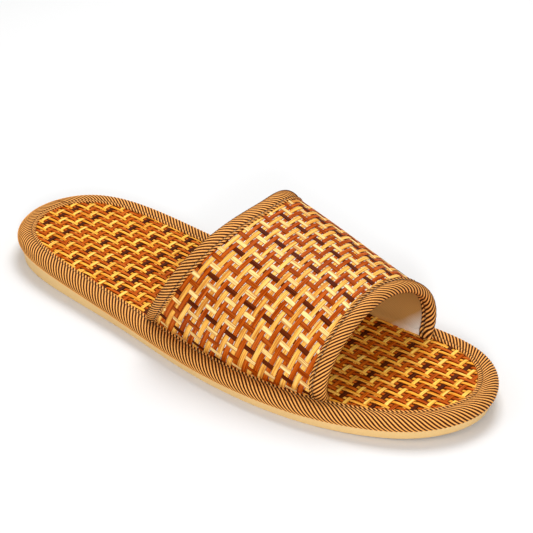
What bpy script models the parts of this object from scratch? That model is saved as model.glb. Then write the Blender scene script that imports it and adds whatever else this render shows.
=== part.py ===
"""Open-toe slipper for the right foot: foam outsole, footbed, woven vamp and taped edges.

The slipper stands on its sole with the toe towards -Y and the little-toe side towards -X.
The origin is on the floor, under the middle of the slipper's box. Tables and named sizes
are in millimetres; meshes are made in metres.
"""

import math

import bmesh
import bpy
import numpy as np

MM = 0.001
GAP = 0.3                  # left between pieces that touch
SHARP_DEGREES = 40.0       # folds sharper than this keep a crisp edge

# ---- outline seen from above: the outermost line of the rim binding --------------------
LENGTH = 270.0
OUTLINE = [
    # station from the heel tip, half width to the outside, half width to the inside
    (8.0, 22.0, 22.5),
    (28.0, 35.0, 34.5),
    (65.0, 41.5, 38.0),
    (105.0, 46.5, 38.0),
    (140.0, 52.0, 39.5),
    (175.0, 54.0, 39.5),
    (210.0, 50.0, 38.0),
    (240.0, 39.5, 36.0),
    (260.0, 24.5, 24.5),
]
OUTLINE_STEPS = 54         # steps along the slipper from heel tip to toe tip

# ---- outsole: one sheet, thicker under the heel, turned up a little at the toe ---------
SOLE_THICKNESS = 4.5
HEEL_THICKNESS = 8.9
HEEL_WEDGE_END = 132.0     # station where the extra thickness of the heel has run out
TOE_SPRING = 2.0
SPRING_START = 202.0       # station where the sole starts to turn up
SOLE_TOP_INSET = 1.6
SOLE_BOTTOM_INSET = 2.4
SOLE_CHAMFER = 0.5

# ---- rim binding: tape round the footbed's edge, heights above the outsole's top -------
RIM_WIDTH = 9.0            # how far it reaches in from the outline
RIM_PROFILE = [
    # inset from the outline, height above the outsole's top
    (1.2, 0.3),
    (0.3, 1.4),
    (0.0, 2.8),
    (0.4, 4.4),
    (1.6, 5.8),
    (3.6, 6.3),
    (6.5, 6.2),
    (RIM_WIDTH - 0.3, 5.9),
    (RIM_WIDTH, 5.4),
    (RIM_WIDTH - 0.3, 4.9),
    (3.8, 4.9),
    (2.6, 4.1),
    (2.2, 2.8),
    (2.6, 0.3),
]

# ---- footbed: foam board inside the rim binding ----------------------------------------
FOOTBED_INSET = 2.9
FOOTBED_BASE_INSET = 3.2   # along its bottom edge
FOOTBED_THICKNESS = 4.3
FOOTBED_CHAMFER = 1.2

# ---- vamp: a barrel arch from side to side, given at two stations ----------------------
VAMP_SECTIONS = [
    # station, crest height, crest shift to the inside, outer fullness, inner fullness
    (110.0, 61.5, 15.5, 2.9, 4.2),
    (210.0, 37.5, 3.5, 2.0, 2.35),
]
VAMP_WALL = 1.6
VAMP_FOOT_INSET = 9.5      # outer face of the vamp's feet, in from the outline
OUTER_BULGE = 4.5          # how far each side leans out past its foot
INNER_BULGE = 9.3
BULGE_START = 1.8          # height above the foot where the lean begins
BULGE_POWER = 0.6
ARCH_SAMPLES = 241
SHARE_STEP = 0.01          # half the span over which the face's slope is taken
VAMP_STEPS_ACROSS = 56
VAMP_STEPS_ALONG = 12

# ---- edge bindings: free edge station = crest + skew * w + sweep * w**2, where w runs
# ---- from -1 at the outer foot to 1 at the inner foot -----------------------------------
THROAT_EDGE = {"crest": 143.5, "skew": 2.0, "sweep": -32.5}
TOE_EDGE = {"crest": 218.5, "skew": 3.0, "sweep": 0.0}
TAPE = 1.1
THROAT_TAPE_WIDTH = 8.0    # on the outside of the vamp
TOE_TAPE_WIDTH = 7.2
HEM_WIDTH = 5.5            # on the inside
FOLD_STEPS = 6
END_TRIALS = 7             # halvings to find where the tape clears the rim binding


def closed_spline(points, samples_per_side, split):
    """Sample a smooth closed curve through the points, as two runs that meet at split."""
    loop = np.array(points + points[:1])
    chords = np.linalg.norm(np.diff(loop, axis=0), axis=1)
    knots = np.concatenate([[0.0], np.cumsum(np.sqrt(chords))])
    step = np.diff(knots)
    slope = np.diff(loop, axis=0) / step[:, None]
    count = len(points)
    matrix = np.zeros((count, count))
    right = np.zeros((count, 2))
    for i in range(count):
        before = i - 1
        matrix[i, before] += step[before]
        matrix[i, i] += 2.0 * (step[before] + step[i])
        matrix[i, (i + 1) % count] += step[i]
        right[i] = 6.0 * (slope[i] - slope[before])
    bend = np.linalg.solve(matrix, right)
    bend = np.vstack([bend, bend[:1]])

    def sample(start, end):
        where = np.linspace(start, end, samples_per_side)
        i = np.clip(np.searchsorted(knots, where, side="right") - 1, 0, count - 1)
        a = ((knots[i + 1] - where) / step[i])[:, None]
        b = 1.0 - a
        width = (step[i] ** 2 / 6.0)[:, None]
        curve = a * loop[i] + b * loop[i + 1]
        return curve + width * ((a ** 3 - a) * bend[i] + (b ** 3 - b) * bend[i + 1])

    return sample(0.0, knots[split]), sample(knots[split], knots[-1])


def outline_sides():
    """Dense outer and inner side of the outline, as (x, station) from heel to toe."""
    outer = [(-row[1], row[0]) for row in OUTLINE]
    inner = [(row[2], row[0]) for row in OUTLINE]
    points = [(0.0, 0.0)] + outer + [(0.0, LENGTH)] + inner[::-1]
    outer_run, inner_run = closed_spline(points, 1200, len(outer) + 1)
    return outer_run, inner_run[::-1]


OUTER_SIDE, INNER_SIDE = outline_sides()
CENTRE_X = 0.5 * (OUTER_SIDE[:, 0].min() + INNER_SIDE[:, 0].max())


def side_x(side, station):
    """Sideways place of one side of the outline at a station."""
    return np.interp(station, side[:, 1], side[:, 0]) - CENTRE_X


def inset_side(side, inset):
    """One side of the outline moved towards the middle, at right angles to itself."""
    along = np.gradient(side, axis=0)
    inward = np.column_stack([along[:, 1], -along[:, 0]])
    inward /= np.linalg.norm(along, axis=1)[:, None]
    return side - math.copysign(inset, side[:, 0].sum()) * inward


def outline_points():
    """Outline from the heel tip round the outer side to the toe and back, as (x, y)."""
    turn = np.linspace(0.0, math.pi, OUTLINE_STEPS + 1)
    stations = 0.5 * LENGTH * (1.0 - np.cos(turn))
    outer = np.column_stack([side_x(OUTER_SIDE, stations), stations])
    inner = np.column_stack([side_x(INNER_SIDE, stations), stations])[::-1]
    loop = np.vstack([outer, inner[1:-1]])
    return np.column_stack([loop[:, 0], 0.5 * LENGTH - loop[:, 1]])


OUTLINE_LOOP = outline_points()
OUTER_FOOT = inset_side(OUTER_SIDE, VAMP_FOOT_INSET)
INNER_FOOT = inset_side(INNER_SIDE, VAMP_FOOT_INSET)
VAMP_SHARES = np.linspace(-1.0, 1.0, VAMP_STEPS_ACROSS + 1)


def inset_outline(inset):
    """Outline moved inwards by a distance at right angles to itself."""
    along = np.roll(OUTLINE_LOOP, -1, axis=0) - np.roll(OUTLINE_LOOP, 1, axis=0)
    along /= np.linalg.norm(along, axis=1)[:, None]
    outward = np.column_stack([along[:, 1], -along[:, 0]])
    return OUTLINE_LOOP - inset * outward


def station_of(y):
    return 0.5 * LENGTH - y


def toe_lift(station):
    share = np.clip((station - SPRING_START) / (LENGTH - SPRING_START), 0.0, 1.0)
    return TOE_SPRING * share ** 2


def sole_top(station):
    """Height of the outsole's top above the floor."""
    share = np.clip(station / HEEL_WEDGE_END, 0.0, 1.0)
    wedge = 0.5 * (1.0 + np.cos(math.pi * share))
    return SOLE_THICKNESS + (HEEL_THICKNESS - SOLE_THICKNESS) * wedge + toe_lift(station)


def ring(inset, height, base):
    """One turn round the slipper, at a height above the base surface."""
    flat = inset_outline(inset)
    return np.column_stack([flat, base(station_of(flat[:, 1])) + height])


def arch(station):
    """Half-round of the vamp's outer face at a station: x, z and share of its length."""
    first, last = np.array(VAMP_SECTIONS)
    mix = (station - first[0]) / (last[0] - first[0])
    _, height, shift, outer_full, inner_full = first + (last - first) * mix
    outer_foot = side_x(OUTER_FOOT, station)
    inner_foot = side_x(INNER_FOOT, station)
    middle = 0.5 * (outer_foot + inner_foot) + shift
    turn = 0.5 * math.pi * (1.0 - np.cos(np.linspace(0.0, math.pi, ARCH_SAMPLES)))
    on_outer = turn < 0.5 * math.pi
    fullness = np.where(on_outer, outer_full, inner_full)
    reach = np.abs(np.cos(turn)) ** (2.0 / fullness)
    rise = height * np.abs(np.sin(turn)) ** (2.0 / fullness)
    lean = np.clip((rise - BULGE_START) / (height - BULGE_START), 0.0, 1.0)
    lean = reach * (4.0 * lean * (1.0 - lean)) ** BULGE_POWER
    x_outer = middle - (middle - outer_foot) * reach - OUTER_BULGE * lean
    x_inner = middle + (inner_foot - middle) * reach + INNER_BULGE * lean
    x = np.where(on_outer, x_outer, x_inner)
    z = sole_top(station) + GAP + FOOTBED_THICKNESS + GAP + rise
    run = np.concatenate([[0.0], np.cumsum(np.hypot(np.diff(x), np.diff(z)))])
    return x, z, 2.0 * run / run[-1] - 1.0


def on_arch(station, share):
    x, z, shares = arch(station)
    y = 0.5 * LENGTH - station
    return np.array([np.interp(share, shares, x), y, np.interp(share, shares, z)])


def vamp_point(station, share, proud=0.0):
    """A point over the vamp's outer face, share -1 at the outer foot, 1 at the inner."""
    low, high = np.clip([share - SHARE_STEP, share + SHARE_STEP], -1.0, 1.0)
    across = on_arch(station, high) - on_arch(station, low)
    along = on_arch(station + 1.0, share) - on_arch(station - 1.0, share)
    outward = np.cross(along, across)
    outward /= np.linalg.norm(outward)
    return on_arch(station, share) + proud * outward


def edge_station(edge, share):
    return edge["crest"] + edge["skew"] * share + edge["sweep"] * share ** 2


def parts_collection():
    collection = bpy.data.collections.new("open_toe_slipper")
    bpy.context.scene.collection.children.link(collection)
    return collection


def material(name, colour, roughness):
    """Plain finish with a colour and a roughness; nothing on the slipper is metal."""
    finish = bpy.data.materials.new(name)
    finish.use_nodes = True
    shader = finish.node_tree.nodes["Principled BSDF"]
    shader.inputs["Base Color"].default_value = (*colour, 1.0)
    shader.inputs["Roughness"].default_value = roughness
    shader.inputs["Metallic"].default_value = 0.0
    return finish


def add_piece(collection, name, points, faces, finish):
    """Make a mesh object from points in millimetres, smooth but for its sharp edges."""
    mesh = bpy.data.meshes.new(name)
    mesh.from_pydata([tuple(MM * c for c in point) for point in points], [], faces)
    work = bmesh.new()
    work.from_mesh(mesh)
    bmesh.ops.recalc_face_normals(work, faces=work.faces)
    work.to_mesh(mesh)
    work.free()
    mesh.shade_smooth()
    mesh.set_sharp_from_angle(angle=math.radians(SHARP_DEGREES))
    mesh.materials.append(finish)
    piece = bpy.data.objects.new(name, mesh)
    collection.objects.link(piece)
    return piece


def wall_faces(rings, size, wrap):
    """Quads between rings of one size, each ring closed on itself."""
    faces = []
    for a in range(rings if wrap else rings - 1):
        b = (a + 1) % rings
        for i in range(size):
            j = (i + 1) % size
            faces.append((a * size + i, a * size + j, b * size + j, b * size + i))
    return faces


def ladder_faces(start, size):
    """Cap of a ring, by rungs between its outer and inner side."""
    half = size // 2
    rungs = [(start + i, start + (size - i) % size) for i in range(half + 1)]
    faces = []
    for (a, b), (c, d) in zip(rungs, rungs[1:]):
        corners = [a, c, d, b]
        faces.append(tuple(dict.fromkeys(corners)))
    return faces


def slab(collection, name, rings, finish):
    """A solid from a stack of rings, capped at the bottom and the top."""
    size = len(rings[0])
    faces = wall_faces(len(rings), size, wrap=False)
    faces += ladder_faces(0, size) + ladder_faces((len(rings) - 1) * size, size)
    return add_piece(collection, name, np.vstack(rings), faces, finish)


def outsole(collection):
    top = ring(SOLE_TOP_INSET, 0.0, sole_top)
    top_edge = ring(SOLE_TOP_INSET, -SOLE_CHAMFER, sole_top)
    bottom_edge = ring(SOLE_BOTTOM_INSET, SOLE_CHAMFER, toe_lift)
    bottom = ring(SOLE_BOTTOM_INSET + SOLE_CHAMFER, 0.0, toe_lift)
    finish = material("outsole_foam", (0.72, 0.50, 0.23), 0.75)
    return slab(collection, "outsole", [bottom, bottom_edge, top_edge, top], finish)


def footbed(collection):
    low = GAP
    high = GAP + FOOTBED_THICKNESS
    rings = [
        ring(FOOTBED_BASE_INSET, low, sole_top),
        ring(FOOTBED_INSET, high - FOOTBED_CHAMFER, sole_top),
        ring(FOOTBED_INSET + FOOTBED_CHAMFER, high, sole_top),
        ring(RIM_WIDTH + GAP, high, sole_top),
    ]
    finish = material("footbed_straw", (0.62, 0.33, 0.09), 0.6)
    return slab(collection, "footbed", rings, finish)


def rim_binding(collection):
    rings = [ring(inset, height, sole_top) for inset, height in RIM_PROFILE]
    size = len(rings[0])
    finish = material("rim_tape", (0.36, 0.16, 0.05), 0.7)
    faces = wall_faces(len(rings), size, wrap=True)
    return add_piece(collection, "rim_binding", np.vstack(rings), faces, finish)


def vamp(collection):
    """Open arch surface between the two edge bindings, thickened inwards."""
    points = []
    setback = TAPE + GAP
    for share in VAMP_SHARES:
        rear = edge_station(THROAT_EDGE, share) + setback
        front = edge_station(TOE_EDGE, share) - setback
        for station in np.linspace(rear, front, VAMP_STEPS_ALONG + 1):
            points.append(vamp_point(station, share))
    row = VAMP_STEPS_ALONG + 1
    faces = []
    for i in range(VAMP_STEPS_ACROSS):
        for j in range(VAMP_STEPS_ALONG):
            a = i * row + j
            faces.append((a, a + row, a + row + 1, a + 1))
    finish = material("vamp_straw", (0.66, 0.36, 0.10), 0.6)
    piece = add_piece(collection, "vamp", points, faces, finish)
    wall = piece.modifiers.new("wall", "SOLIDIFY")
    wall.thickness = VAMP_WALL * MM
    wall.offset = -1.0
    wall.use_even_offset = True
    wall.use_rim = True
    return piece


def fold_profile(width):
    """Tape folded over the vamp's edge: (reach in from the free edge, proud of the wall)."""
    setback = TAPE + GAP
    radius = 0.5 * VAMP_WALL + setback
    profile = [(width, GAP), (width, setback)]
    for turn in np.linspace(0.0, math.pi, FOLD_STEPS + 1):
        reach = radius * (1.0 - math.sin(turn))
        profile.append((reach, radius * math.cos(turn) - 0.5 * VAMP_WALL))
    profile += [(HEM_WIDTH, -VAMP_WALL - setback), (HEM_WIDTH, -VAMP_WALL - GAP)]
    profile += [(TAPE, -VAMP_WALL - GAP), (TAPE, GAP)]
    return profile


def is_clear(edge, direction, profile, share):
    """Whether the whole folded tape is up past the rim binding at this share."""
    rim_top = max(height for _, height in RIM_PROFILE)
    free = edge_station(edge, share)
    for reach, proud in profile:
        station = free + direction * reach
        if vamp_point(station, share, proud)[2] < sole_top(station) + rim_top + GAP:
            return False
    return True


def binding_shares(edge, direction, profile):
    """Shares of the tape's sections: the vamp's own, down to where the rim binding is."""
    shares = [share for share in VAMP_SHARES if is_clear(edge, direction, profile, share)]
    step = VAMP_SHARES[1] - VAMP_SHARES[0]
    ends = []
    for last, outwards in ((shares[0], -step), (shares[-1], step)):
        spare = 1.0
        for _ in range(END_TRIALS):
            spare *= 0.5
            if is_clear(edge, direction, profile, last + spare * outwards):
                last += spare * outwards
        ends.append(last)
    return [ends[0]] + shares + [ends[1]]


def edge_binding(collection, name, edge, width, direction, finish):
    """Sweep the folded tape along one edge of the vamp, down to the rim binding."""
    profile = fold_profile(width)
    size = len(profile)
    shares = binding_shares(edge, direction, profile)
    points = []
    for share in shares:
        free = edge_station(edge, share)
        for reach, proud in profile:
            points.append(vamp_point(free + direction * reach, share, proud))
    faces = wall_faces(len(shares), size, wrap=False)
    last = (len(shares) - 1) * size
    faces += [tuple(range(size)), tuple(range(last, last + size))]
    return add_piece(collection, name, points, faces, finish)


for old in list(bpy.data.objects):
    bpy.data.objects.remove(old, do_unlink=True)

slipper = parts_collection()
outsole(slipper)
footbed(slipper)
rim_binding(slipper)
vamp(slipper)
throat_tape = material("throat_tape", (0.36, 0.16, 0.05), 0.7)
edge_binding(slipper, "throat_binding", THROAT_EDGE, THROAT_TAPE_WIDTH, 1.0, throat_tape)
toe_tape = material("toe_tape", (0.42, 0.20, 0.06), 0.7)
edge_binding(slipper, "toe_binding", TOE_EDGE, TOE_TAPE_WIDTH, -1.0, toe_tape)
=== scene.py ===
import math

import bmesh
import bpy
import numpy as np
from mathutils import Matrix, Vector


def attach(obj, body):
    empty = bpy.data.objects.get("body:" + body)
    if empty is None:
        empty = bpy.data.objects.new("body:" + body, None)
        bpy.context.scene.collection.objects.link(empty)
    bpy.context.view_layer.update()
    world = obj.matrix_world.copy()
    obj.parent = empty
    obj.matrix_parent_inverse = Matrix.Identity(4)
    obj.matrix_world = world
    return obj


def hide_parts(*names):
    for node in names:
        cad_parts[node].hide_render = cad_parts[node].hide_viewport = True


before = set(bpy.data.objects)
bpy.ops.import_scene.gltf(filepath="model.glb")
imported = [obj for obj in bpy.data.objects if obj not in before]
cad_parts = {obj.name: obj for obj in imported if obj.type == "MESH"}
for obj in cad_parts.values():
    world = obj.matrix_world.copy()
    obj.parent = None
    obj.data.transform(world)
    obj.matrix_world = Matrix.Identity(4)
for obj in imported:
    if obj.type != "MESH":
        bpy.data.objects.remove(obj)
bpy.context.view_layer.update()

# ---- The set ---------------------------------------------------------------
# A white floor in even light, with a broad lamp behind the slipper, a small one near the
# camera and a weak one to its left. The camera looks down from beyond the toe.
FLOOR_REACH = 3.0
FLOOR_SHADE = "e0e0e0"
FLOOR_WHITE = "e4e4e4"
FLOOR_CLOUDS = 3.0  # in a metre
LAMPS = [
    # name, place, size in metres, power in watts
    ("behind", (0.34, 0.16, 0.84), 0.5, 6.2),
    ("window_side", (-0.75, 0.30, 0.55), 0.4, 0.9),
    ("toe_side", (-0.66, -0.58, 0.38), 0.15, 4.3),
]
SKY_STRENGTH = 0.54
CAMERA_PLACE = (-0.4418, -0.3737, 0.3736)
CAMERA_TURN = math.radians(-51.445)
CAMERA_DOWN = math.radians(30.613)
CAMERA_ROLL = math.radians(0.178)
CAMERA_LENS = 98.8
CAMERA_FILM = 36.0


def paint(code):
    """A colour given as six hex digits, as the shader wants it."""
    shares = [int(code[i:i + 2], 16) / 255.0 for i in (0, 2, 4)]
    linear = [s / 12.92 if s <= 0.04045 else ((s + 0.055) / 1.055) ** 2.4 for s in shares]
    return (*linear, 1.0)


def put(tree, kind, sockets=None, **settings):
    """A new node, with its settings, and its sockets linked or set by name or number."""
    node = tree.nodes.new(kind)
    for name, value in settings.items():
        setattr(node, name, value)
    for key, value in (sockets or {}).items():
        if isinstance(value, Wire):
            value = value.socket
        if isinstance(value, bpy.types.NodeSocket):
            tree.links.new(value, node.inputs[key])
        else:
            node.inputs[key].default_value = value
    return node


class Wire:
    """A number on its way through a node tree: a sum of wires becomes Math nodes."""

    def __init__(self, tree, socket):
        self.tree = tree
        self.socket = socket

    def math(self, operation, *others):
        values = dict(enumerate((self,) + others))
        node = put(self.tree, "ShaderNodeMath", values, operation=operation)
        return Wire(self.tree, node.outputs[0])

    def __add__(self, other):
        return self.math("ADD", other)

    def __sub__(self, other):
        return self.math("SUBTRACT", other)

    def __mul__(self, other):
        return self.math("MULTIPLY", other)

    def __truediv__(self, other):
        return self.math("DIVIDE", other)

    def __mod__(self, other):
        return self.math("FLOORED_MODULO", other)

    def __neg__(self):
        return self * -1.0

    def clamp(self, low=0.0, high=1.0):
        return self.math("MAXIMUM", low).math("MINIMUM", high)

    def scaled(self, start, length):
        return (self - start) / length

    def ramp(self, start, length):
        """A share that rises from 0 at a start to 1 over a length."""
        return self.scaled(start, length).clamp()

    def past(self, start, slope):
        """Rises evenly from a start on, and is 0 before it."""
        return (self - start).math("MAXIMUM", 0.0) * slope

    def swept(self, start, growth):
        """Rises from a start on with the square of the distance, and is 0 before it."""
        past = (self - start).math("MAXIMUM", 0.0)
        return past * past * growth

    def swing(self):
        """The cosine of a number of whole turns."""
        return (self * (2.0 * math.pi)).math("COSINE")


def new_finish(name, roughness, shine=0.5):
    """An empty procedural material: its tree and its shader."""
    material = bpy.data.materials.new(name)
    material.use_nodes = True
    shader = material.node_tree.nodes["Principled BSDF"]
    shader.inputs["Roughness"].default_value = roughness
    shader.inputs["Specular IOR Level"].default_value = shine
    return material, material.node_tree, shader


def own_place(tree):
    """A point's place in its piece's own coordinates."""
    return put(tree, "ShaderNodeTexCoord").outputs["Object"]


def blend_colours(tree, share, first, second, kind="MIX"):
    """Two colours, or a colour and a socket, mixed by a share."""
    node = put(tree, "ShaderNodeMix", {0: share, 6: first, 7: second}, data_type="RGBA",
               blend_type=kind)
    return node.outputs[2]


def noise(tree, vector, scale=1.0, detail=2.0, roughness=0.5):
    """Cloudy noise from 0 to 1."""
    node = put(tree, "ShaderNodeTexNoise", {"Vector": vector, "Scale": scale,
               "Detail": detail, "Roughness": roughness})
    return Wire(tree, node.outputs[0])


def coat(tree, shader, colour, rough=None):
    """Give the shader its colour, and its roughness where that varies."""
    tree.links.new(colour, shader.inputs["Base Color"])
    if rough:
        tree.links.new(rough.socket, shader.inputs["Roughness"])


def new_object(name, data):
    """An object at the origin, linked to the scene."""
    thing = bpy.data.objects.new(name, data)
    bpy.context.scene.collection.objects.link(thing)
    return thing


def lay_floor():
    mesh = bpy.data.meshes.new("floor")
    corners = [(x * FLOOR_REACH, y * FLOOR_REACH, 0.0)
               for x, y in ((-1, -1), (1, -1), (1, 1), (-1, 1))]
    mesh.from_pydata(corners, [], [(0, 1, 2, 3)])
    floor = new_object("floor", mesh)
    white, tree, shader = new_finish("floor_white", 0.9, 0.1)
    cloud = noise(tree, own_place(tree), FLOOR_CLOUDS)
    coat(tree, shader, blend_colours(tree, cloud, paint(FLOOR_SHADE), paint(FLOOR_WHITE)))
    mesh.materials.append(white)


def hang_lamps():
    world = bpy.data.worlds.new("studio")
    bpy.context.scene.world = world
    world.use_nodes = True
    sky = world.node_tree.nodes["Background"]
    sky.inputs["Color"].default_value = (1.0, 1.0, 1.0, 1.0)
    sky.inputs["Strength"].default_value = SKY_STRENGTH
    for name, place, size, power in LAMPS:
        light = bpy.data.lights.new(name, "AREA")
        light.shape = "SQUARE"
        light.size = size
        light.energy = power
        lamp = new_object(name, light)
        lamp.location = place
        lamp.rotation_euler = (-Vector(place)).to_track_quat("-Z", "Y").to_euler()


def stand_camera():
    camera = new_object("camera", bpy.data.cameras.new("camera"))
    camera.data.lens = CAMERA_LENS
    camera.data.sensor_width = CAMERA_FILM
    turn = Matrix.Rotation(CAMERA_TURN, 4, "Z")
    nod = Matrix.Rotation(0.5 * math.pi - CAMERA_DOWN, 4, "X")
    roll = Matrix.Rotation(CAMERA_ROLL, 4, "Z")
    camera.matrix_world = Matrix.Translation(CAMERA_PLACE) @ turn @ nod @ roll
    bpy.context.scene.camera = camera
    bpy.context.scene.view_settings.view_transform = "Standard"


lay_floor()
hang_lamps()
stand_camera()

# ---- Outsole ---------------------------------------------------------------
# One sheet of tan EVA foam, cut to the outline and glued under the footbed. It keeps its CAD
# solid; the foam shows fine closed cells, with shallow diamonds pressed into its underside.
MM = 0.001
FOAM_TAN = paint("e6c07f")
FOAM_SHADE = paint("d6aa69")
FOAM_PALE = paint("f0d69e")
FOAM_CLOUDS = 35.0
FOAM_CELLS = 1800.0
FOAM_SPECKS = 700.0
SPECK_LEVEL = 0.62  # only noise above this makes a speck
SPECK_CONTRAST = 4.0
DIAMOND_PITCH = 7.0 * MM
DIAMOND_TURN = math.radians(45.0)
DIAMOND_STEEPNESS = 3.0


def split_xyz(tree, vector):
    node = put(tree, "ShaderNodeSeparateXYZ", {0: vector})
    return [Wire(tree, socket) for socket in node.outputs]


def bumpy(tree, shader, height, distance, strength=1.0):
    """Give the shader a bump from a height between 0 and 1."""
    node = put(tree, "ShaderNodeBump", {"Height": height, "Distance": distance,
               "Strength": strength})
    tree.links.new(node.outputs[0], shader.inputs["Normal"])


def foam():
    """Foam with fine closed cells, and shallow diamonds pressed into its underside."""
    material, tree, shader = new_finish("outsole_foam", 0.62)
    place = own_place(tree)
    turned = put(tree, "ShaderNodeVectorRotate", {"Vector": place, "Angle": DIAMOND_TURN},
                 rotation_type="Z_AXIS").outputs[0]
    wave = 2.0 * math.pi / DIAMOND_PITCH
    first, second = [(way * wave).math("COSINE").math("ABSOLUTE")
                     for way in split_xyz(tree, turned)[:2]]
    blocks = (first.math("MINIMUM", second) * DIAMOND_STEEPNESS).clamp()
    facing = split_xyz(tree, put(tree, "ShaderNodeNewGeometry").outputs["Normal"])[2]
    underside = (facing * -4.0 - 3.0).clamp()
    cloud = noise(tree, place, FOAM_CLOUDS, 4.0)
    cells = noise(tree, place, FOAM_CELLS)
    specks = (noise(tree, place, FOAM_SPECKS, 1.0) - SPECK_LEVEL).clamp() * SPECK_CONTRAST
    colour = blend_colours(tree, cloud, FOAM_SHADE, FOAM_TAN)
    colour = blend_colours(tree, cells * 0.35, colour, FOAM_PALE)
    colour = blend_colours(tree, specks * 0.4, colour, FOAM_SHADE)
    coat(tree, shader, colour, cloud * 0.2 + 0.5)
    bumpy(tree, shader, cells * 0.2 + blocks * underside, 0.7 * MM, 0.6)
    return material


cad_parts["outsole"].material_slots[0].material = foam()

# ---- Footbed ---------------------------------------------------------------
# A thin foam board covered with dark cloth, and over it a mat of twisted paper straw in a
# two-over-two weave. The mat is cut to the outline and its edge is caught under the binding.
LENGTH = 270.0
OUTLINE = [
    # station from the heel tip, half width to the outside, half width to the inside
    (8.0, 22.0, 22.5),
    (28.0, 35.0, 34.5),
    (65.0, 41.5, 38.0),
    (105.0, 46.5, 38.0),
    (140.0, 52.0, 39.5),
    (175.0, 54.0, 39.5),
    (210.0, 50.0, 38.0),
    (240.0, 39.5, 36.0),
    (260.0, 24.5, 24.5),
]
OUTLINE_SAMPLES = 120  # between two rows of that table
SOLE_THICKNESS = 4.5
HEEL_THICKNESS = 8.9
HEEL_WEDGE_END = 132.0
TOE_SPRING = 2.0
SPRING_START = 202.0
FOOTBED_TOP = 4.6  # above the outsole's top
MAT_INSET = 8.2
MAT_CLEARANCE = 0.55  # middle of the straw above the board
MAT_END_GAP = 0.05
MAT_ROWS = 121
MAT_COLUMNS = 25
BED_DRIFT = 2.1 * MM
BED_DRIFT_RAMP = (90.0 * MM, 110.0 * MM)  # start and length
BED_OPENING = (82.5 * MM, 0.0397)  # start and slope
BED_LEAN = (-8.0 * MM, 0.04)
BED_PHASE = 3.5  # crossings that the pattern of overs and unders is shifted by
STRIP_CORNERS = 8
STRIP_ROUNDNESS = (0.35, 0.4)  # across and up: 1 is a round section, 0 a square one
WEAVE_REPEAT = 4.0  # two crossings over, two under
FLOAT_FLATNESS = 2.6  # above 1, a strip runs level and then dips steeply
WANDER_WAVES = 60.0
WANDER_SHIFT = 191.0  # keeps neighbouring strips from wandering alike
CUT_GAP = 0.02 * MM  # a strip is cut off this far outside the pattern
BED_ROW_COLOURS = ["ffae30", "c05602"]
BED_YELLOW = "ffc64c"
BED_RUST = "bc5604"
BED_BROWN = "501e04"
# every other column is yellow; these come between, R rust and D dark, and then start again
BED_COLUMN_ORDER = "RDRDRRDRDRDDRRD"
STRAW_SHADE = paint("a4582a")
STRAW_PALE = paint("ffecc8")
STRAW_GRAIN = [
    # shift from strip to strip, scale along a strip, scale across it, detail, roughness
    (3.7, 22.0, 1.1, 2.0, 0.6),  # splits
    (5.3, 140.0, 0.0, 1.0, 0.5),  # patches
    (3.1, 70.0, 2.1, 1.0, 0.5),  # fibres
]
STRAW_CONTRAST = 9.0
STRAW_SHADED_EDGE = 0.72  # from here outwards, a strip's edge and side face get painted shade
BOARD_BROWN = paint("5a2404")
BOARD_RUST = paint("9c4a10")
BOARD_THREADS = 900.0


def step_lengths(line):
    """The distance from each point of a line to the next."""
    return np.linalg.norm(np.diff(line, axis=0), axis=1)


def closed_spline(points, samples):
    """A smooth closed curve through the points, evenly sampled between them."""
    loop = np.array(points + points[:1])
    step = np.sqrt(step_lengths(loop))
    slope = np.diff(loop, axis=0) / step[:, None]
    count = len(points)
    matrix = np.zeros((count, count))
    for i in range(count):
        matrix[i, i - 1] += step[i - 1]
        matrix[i, i] += 2.0 * (step[i - 1] + step[i])
        matrix[i, (i + 1) % count] += step[i]
    bend = np.linalg.solve(matrix, 6.0 * (slope - np.roll(slope, 1, axis=0)))
    bend = np.vstack([bend, bend[:1]])
    b = np.linspace(0.0, 1.0, samples, endpoint=False)[:, None]
    a = 1.0 - b
    runs = []
    for i in range(count):
        bow = (a ** 3 - a) * bend[i] + (b ** 3 - b) * bend[i + 1]
        runs.append(a * loop[i] + b * loop[i + 1] + step[i] ** 2 / 6.0 * bow)
    return runs


def outline_sides():
    """Outer and inner side of the outline, as dense (x, station) from heel to toe."""
    outer = [(-row[1], row[0]) for row in OUTLINE]
    inner = [(row[2], row[0]) for row in OUTLINE]
    points = [(0.0, 0.0)] + outer + [(0.0, LENGTH)] + inner[::-1]
    runs = closed_spline(points, OUTLINE_SAMPLES)
    split = len(outer) + 1
    outer_side = np.vstack(runs[:split] + [runs[split][:1]])
    inner_side = np.vstack(runs[split:] + [runs[0][:1]])[::-1]
    middle = 0.5 * (outer_side[:, 0].min() + inner_side[:, 0].max())
    return outer_side - (middle, 0.0), inner_side - (middle, 0.0)


OUTER_SIDE, INNER_SIDE = outline_sides()


def inset_side(side, inset):
    """One side of the outline moved towards the middle, at right angles to itself."""
    along = np.gradient(side, axis=0)
    inward = np.column_stack([along[:, 1], -along[:, 0]])
    inward /= np.linalg.norm(along, axis=1)[:, None]
    return side - math.copysign(inset, side[:, 0].sum()) * inward


def sole_top(station):
    """Height of the outsole's top above the floor."""
    share = np.clip(station / HEEL_WEDGE_END, 0.0, 1.0)
    wedge = 0.5 * (1.0 + np.cos(math.pi * share))
    lift = np.clip((station - SPRING_START) / (LENGTH - SPRING_START), 0.0, 1.0)
    rise = (HEEL_THICKNESS - SOLE_THICKNESS) * wedge
    return SOLE_THICKNESS + rise + TOE_SPRING * lift ** 2


def grid_faces(rows, columns):
    """Each face of a grid of points, by its corners' numbers."""
    starts = [i * columns + j for i in range(rows - 1) for j in range(columns - 1)]
    return [(a, a + columns, a + columns + 1, a + 1) for a in starts]


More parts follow.
